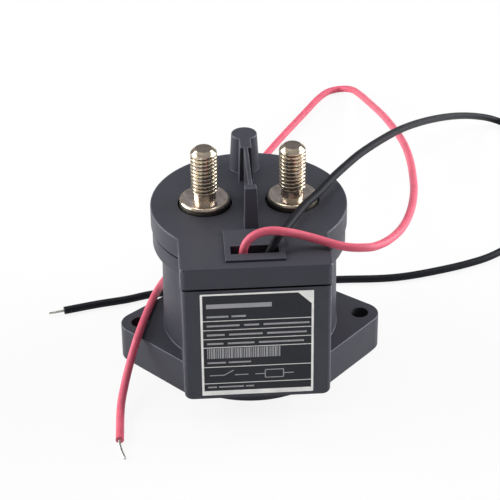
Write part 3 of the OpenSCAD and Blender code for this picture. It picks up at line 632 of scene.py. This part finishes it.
def terminal_place(middle, tip):
    """The place of the material for the face of a terminal with that middle."""
    if middle.z > tip - WELD:
        return END_PLACE
    if abs(middle.z - COLLAR_TOP) < WELD:
        return FACE_PLACE
    on_thread = NECK_TOP < middle.z < tip - TIP_ROUND
    in_groove = on_thread and middle.xy.length < STUD_R - GROOVE_DEPTH
    # The collar's wall takes the darker metal as painted shade
    on_wall = COLLAR_FOOT < middle.z < WALL_TOP
    return DARKENED_PLACE if in_groove or on_wall else MAIN_PLACE


def terminal(node):
    """One turned terminal: fixed contact, collar, neck and a helical thread."""
    low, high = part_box(node)
    tip = high.z
    bm = bmesh.new()
    made = []
    for ring in terminal_rings(low.z, tip, (high.x - low.x) / 2):
        row = []
        for k, (height, radius) in enumerate(ring):
            angle = WHOLE_TURN * k / TERMINAL_SIDES
            row.append(bm.verts.new((radius * math.cos(angle), radius * math.sin(angle), height)))
        made.append(row)
    for lower, upper in zip(made, made[1:]):
        for k in range(TERMINAL_SIDES):
            n = (k + 1) % TERMINAL_SIDES
            face = bm.faces.new((lower[k], lower[n], upper[n], upper[k]))
            face.material_index = terminal_place(face.calc_center_median(), tip)
    bmesh.ops.remove_doubles(bm, verts=bm.verts, dist=WELD)
    piece = mesh_object(node + "_turned", bm)
    piece.data.set_sharp_from_angle(angle=CRISP_ANGLE)
    piece.location.x = (low.x + high.x) / 2
    looks = [LOOKS["terminal_metal"], DARKENED_METAL, STUD_END, COLLAR_FACE]
    finish_piece(piece, looks, "body", "terminal_metal", node)


# Nameplate

class Print:
    """Thin closed slabs on the nameplate, in millimetres across it and above its lower edge."""

    def __init__(self, name, look, back):
        self.name = name
        self.look = look
        self.bm = bmesh.new()
        low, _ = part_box("nameplate")
        self.foot = low.z
        self.depths = [low.y - back * MM, low.y - (back + PRINT_T) * MM]

    def slab(self, outline):
        """One slab with that outline."""
        rear, face = [
            [self.bm.verts.new((x * MM, y, self.foot + z * MM)) for x, z in outline] for y in self.depths
        ]
        self.bm.faces.new(face)
        self.bm.faces.new(rear)
        for i in range(len(outline)):
            n = (i + 1) % len(outline)
            self.bm.faces.new((face[i], face[n], rear[n], rear[i]))

    def bar(self, x, z, length, height):
        """An upright rectangle from its lower left corner."""
        self.slab([(x, z), (x + length, z), (x + length, z + height), (x, z + height)])

    def line(self, start, end, width):
        """A straight line between two points."""
        a, b = Vector(start), Vector(end)
        across = (b - a).orthogonal().normalized() * width / 2
        self.slab([a + across, a - across, b - across, b + across])

    def done(self):
        """The finished piece."""
        piece = mesh_object(self.name, self.bm, smooth=False)
        return finish_piece(piece, [self.look], "body", "nameplate_film")


def plate_panels(half):
    """Black panels between the silver lines, the top one with a cut corner."""
    ink = moulded("plate_ink", PLATE_BLACK, rough=0.4, grain=0.12 * MM, depth=0.002 * MM, gloss=0.38)
    panels = Print("nameplate_panels", ink, 0)
    left, right = PLATE_BORDER - half, half - PLATE_BORDER
    feet = [PLATE_ROWS[0]] + [row + PLATE_LINE / 2 for row in PLATE_ROWS[1:-1]]
    for foot, high in zip(feet, PLATE_ROWS[1:-1]):
        panels.bar(left, foot, right - left, high - PLATE_LINE / 2 - foot)
    top = PLATE_ROWS[-1]
    cut = [(right, top - PLATE_CUT), (right - PLATE_CUT, top)]
    panels.slab([(left, feet[-1]), (right, feet[-1]), *cut, (left, top)])
    panels.done()


def plate_marks(half):
    """Plain bars, stripes and a contact sign in pale ink."""
    ink = moulded("pale_ink", PALE_INK, grain=0.1 * MM, depth=0.002 * MM)
    marks = Print("nameplate_marks", ink, PRINT_T)
    left = PLATE_BORDER - half + PRINT_INSET
    for foot, height, gap, lengths in PLATE_BARS:
        x = left
        for length in lengths:
            marks.bar(x, foot, length, height)
            x += length + gap
    x = left
    for i in range(STRIPES):
        width = STRIPE_THIN + STRIPE_STEP * (i % STRIPE_WIDTHS)
        marks.bar(x, STRIPE_FOOT, width, STRIPE_H)
        x += width + STRIPE_GAP
    contact_sign(marks, left + SIGN_INSET, SIGN_FOOT)
    marks.done()


def contact_sign(marks, x, z):
    """The common drawing sign of an open contact beside a coil."""
    corner = Vector((x, z))
    for start, end in SIGN_STROKES:
        marks.line(corner + Vector(start), corner + Vector(end), SIGN_LINE)
    for side in (-1, 1):
        marks.bar(x + COIL_X, z + side * COIL_H / 2 - SIGN_LINE / 2, COIL_W, SIGN_LINE)
    for edge in (COIL_X, COIL_X + COIL_W):
        marks.bar(x + edge - SIGN_LINE / 2, z - COIL_H / 2, SIGN_LINE, COIL_H)


def nameplate():
    """The print on the plate, whose silver film is the CAD node itself."""
    low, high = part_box("nameplate")
    half = (high.x - low.x) / 2 / MM
    plate_panels(half)
    plate_marks(half)


# Leads and springs

def tube(bm, path, radius, sides):
    """Adds a closed round tube along a path, its rings carried along without twist."""
    last = len(path) - 1
    angles = [WHOLE_TURN * k / sides for k in range(sides)]
    side = None
    rings = []
    for i, point in enumerate(path):
        along = (path[min(i + 1, last)] - path[max(i - 1, 0)]).normalized()
        side = along.orthogonal() if side is None else side - along * side.dot(along)
        side.normalize()
        other = along.cross(side)
        spokes = [side * math.cos(a) + other * math.sin(a) for a in angles]
        rings.append([bm.verts.new(point + radius * spoke) for spoke in spokes])
    for a, b in zip(rings, rings[1:]):
        for k in range(sides):
            n = (k + 1) % sides
            bm.faces.new((a[k], a[n], b[n], b[k]))
    bm.faces.new(rings[0])
    bm.faces.new(rings[-1])


def smooth_path(points, steps):
    """Points along a smooth curve through the given ones."""
    path = []
    last = len(points) - 1
    for i in range(last):
        before, start = points[max(i - 1, 0)], points[i]
        end, after = points[i + 1], points[min(i + 2, last)]
        for k in range(steps):
            t = k / steps
            path.append(0.5 * (
                2 * start
                + (end - before) * t
                + (2 * before - 5 * start + 4 * end - after) * t ** 2
                + (3 * start - before - 3 * end + after) * t ** 3
            ))
    return path + [points[-1]]


def strand_bundle(name, route, node):
    """Thin tinned wires twisted round a middle one, spreading a little at the free end."""
    path = smooth_path(metres(route), WIRE_STEPS)
    last = len(path) - 1
    bm = bmesh.new()
    tube(bm, path, WIRE_R, WIRE_SIDES)
    for k in range(WIRES_ROUND_CORE):
        spread = STRAND_SPREAD * (1 + SPREAD_VARIES * math.sin(SPREAD_PHASE * k))
        wire = []
        for i, point in enumerate(path):
            along = (path[min(i + 1, last)] - path[max(i - 1, 0)]).normalized()
            side = along.cross(Vector((0, 0, 1))).normalized()
            other = along.cross(side)
            share = i / last
            angle = WHOLE_TURN * (k / WIRES_ROUND_CORE + STRAND_TWIST * share)
            reach = 2 * WIRE_R * (1 + spread * share)
            wire.append(point + reach * (side * math.cos(angle) + other * math.sin(angle)))
        tube(bm, wire, WIRE_R, WIRE_SIDES)
    piece = mesh_object(name, bm)
    return finish_piece(piece, [LOOKS["tinned_copper"]], "body", "tinned_copper", node)


def lead(name, route, slot, node):
    """One insulated lead as a smooth curve through its route."""
    curve = bpy.data.curves.new(name, "CURVE")
    curve.dimensions = "3D"
    curve.bevel_depth = LEAD_D / 2
    curve.bevel_resolution = LEAD_ROUNDNESS
    curve.resolution_u = LEAD_KNOT_STEPS
    curve.use_fill_caps = True
    spline = curve.splines.new("BEZIER")
    points = metres(route)
    last = len(points) - 1
    spline.bezier_points.add(last)
    for i, knot in enumerate(spline.bezier_points):
        before, point, after = points[max(i - 1, 0)], points[i], points[min(i + 1, last)]
        along = after - before
        if point.z < TABLE_RUN:
            along.z = 0
        along.normalize()
        knot.co = point
        knot.handle_left_type = "FREE"
        knot.handle_right_type = "FREE"
        knot.handle_left = point - along * (point - before).length / 3
        knot.handle_right = point + along * (after - point).length / 3
    piece = add_object(name, curve)
    finish_piece(piece, [LOOKS[slot]], "body", slot, node)


def leads():
    """Both coil leads with their bare ends."""
    red_strands = strand_bundle("red_lead_wires", RED_STRANDS, "red_lead_strands")
    black_strands = strand_bundle("black_lead_wires", BLACK_STRANDS, "black_lead_strands")
    lead("red_lead_run", RED_ROUTE, "red_insulation", "red_lead")
    lead("black_lead_run", BLACK_ROUTE, "black_insulation", "black_lead")


def spring(node, body, turns):
    """A round-wire spring between its seats, its turns closer together towards both ends.

    It follows the first joint, since the others only move at the end of that one's travel.
    """
    low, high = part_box(node)
    bottom, top = low.z + SPRING_WIRE_R, high.z - SPRING_WIRE_R
    steps = round(turns * SPRING_TURN_STEPS)
    path = []
    for i in range(steps + 1):
        share = i / steps
        angle = WHOLE_TURN * turns * share
        height = bottom + (top - bottom) * (1 - math.cos(math.pi * share)) / 2
        path.append(Vector((SPRING_MID_R * math.cos(angle), SPRING_MID_R * math.sin(angle), height)))
    bm = bmesh.new()
    tube(bm, path, SPRING_WIRE_R, SPRING_SIDES)
    piece = mesh_object(node + "_wire", bm)
    finish_piece(piece, [LOOKS["spring_steel"]], body, "spring_steel", node)
    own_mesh(piece)


# Studio

def camera():
    """The photograph's camera: fitted angles, distance and focal length."""
    flat = math.cos(CAMERA_ELEVATION)
    back = Vector((
        math.sin(CAMERA_AZIMUTH) * flat, -math.cos(CAMERA_AZIMUTH) * flat, math.sin(CAMERA_ELEVATION)
    ))
    right = Vector((math.cos(CAMERA_AZIMUTH), math.sin(CAMERA_AZIMUTH), 0))
    up = back.cross(right)
    rolled_right = right * math.cos(CAMERA_ROLL) + up * math.sin(CAMERA_ROLL)
    rolled_up = up * math.cos(CAMERA_ROLL) - right * math.sin(CAMERA_ROLL)
    data = bpy.data.cameras.new("camera")
    data.sensor_width = SENSOR
    data.lens = SENSOR * FOCAL_PX / PICTURE_PX
    data.clip_start = CAMERA_NEAR
    data.clip_end = CAMERA_FAR
    eye = add_object("camera", data)
    turn = Matrix((rolled_right, rolled_up, back)).transposed().to_4x4()
    eye.matrix_world = Matrix.Translation(CAMERA_TARGET + back * CAMERA_DISTANCE) @ turn
    bpy.context.scene.camera = eye


def soft_light(name, place, width, height, power):
    """A soft box that faces the object."""
    data = bpy.data.lights.new(name, "AREA")
    data.shape = "RECTANGLE"
    data.size = width
    data.size_y = height
    data.energy = power
    lamp = add_object(name, data)
    lamp.location = place
    lamp.rotation_mode = "QUATERNION"
    lamp.rotation_quaternion = (LAMP_AIM - Vector(place)).to_track_quat("-Z", "Y")


def white_share(tree, shares):
    """The share of white for the kind of ray at hand."""
    path = tree.nodes.new("ShaderNodeLightPath")
    total = None
    for ray, share in shares.items():
        step = tree.nodes.new("ShaderNodeMath")
        step.operation = "MULTIPLY_ADD"
        step.inputs[1].default_value = share
        step.inputs[2].default_value = 0
        tree.links.new(path.outputs[ray], step.inputs[0])
        if total:
            tree.links.new(total, step.inputs[2])
        total = step.outputs["Value"]
    return total


def floor():
    """A pale floor that keeps the shadow, close to white in the picture and half so in reflections."""
    bm = bmesh.new()
    bmesh.ops.create_grid(bm, x_segments=2, y_segments=2, size=FLOOR_HALF)
    ground = mesh_object("floor", bm)
    ground.location.z = -FLOOR_DROP
    material = bpy.data.materials.new("pale_floor")
    material.use_nodes = True
    nodes, links = material.node_tree.nodes, material.node_tree.links
    nodes.clear()
    matt = nodes.new("ShaderNodeBsdfDiffuse")
    matt.inputs["Color"].default_value = FLOOR_GREY
    white = nodes.new("ShaderNodeEmission")
    mix = nodes.new("ShaderNodeMixShader")
    links.new(white_share(material.node_tree, FLOOR_WHITE), mix.inputs["Fac"])
    links.new(matt.outputs["BSDF"], mix.inputs[1])
    links.new(white.outputs["Emission"], mix.inputs[2])
    out = nodes.new("ShaderNodeOutputMaterial")
    links.new(mix.outputs["Shader"], out.inputs["Surface"])
    ground.data.materials.append(material)


def surroundings():
    """A dim room that is brighter above and white in the picture, and partly so in reflections."""
    world = bpy.data.worlds.new("studio")
    world.use_nodes = True
    nodes, links = world.node_tree.nodes, world.node_tree.links
    place = nodes.new("ShaderNodeTexCoord")
    split = nodes.new("ShaderNodeSeparateXYZ")
    links.new(place.outputs["Generated"], split.inputs["Vector"])
    ramp = nodes.new("ShaderNodeValToRGB")
    low, high = ramp.color_ramp.elements
    low.position, high.position = 0.0, ROOM_HIGH_FROM
    low.color, high.color = ROOM_LOW, ROOM_HIGH
    links.new(split.outputs["Z"], ramp.inputs["Fac"])
    back = nodes["Background"]
    back.inputs["Strength"].default_value = 1
    links.new(ramp.outputs["Color"], back.inputs["Color"])
    bright = nodes.new("ShaderNodeBackground")
    bright.inputs["Color"].default_value = WHITE
    mix = nodes.new("ShaderNodeMixShader")
    links.new(white_share(world.node_tree, ROOM_WHITE), mix.inputs["Fac"])
    links.new(back.outputs["Background"], mix.inputs[1])
    links.new(bright.outputs["Background"], mix.inputs[2])
    links.new(mix.outputs["Shader"], nodes["World Output"].inputs["Surface"])
    bpy.context.scene.world = world


def studio():
    """Camera, floor, room and lamps."""
    camera()
    floor()
    surroundings()
    for name, (place, width, height, power) in LAMPS.items():
        soft_light(name, place, width, height, power)
    bpy.context.scene.view_settings.view_transform = "Standard"


dress_nodes()
mouldings()
terminal("terminal_left")
terminal("terminal_right")
nameplate()
leads()
spring("return_spring", "body", RETURN_TURNS)
spring("contact_spring", "bridge", CONTACT_TURNS)
studio()
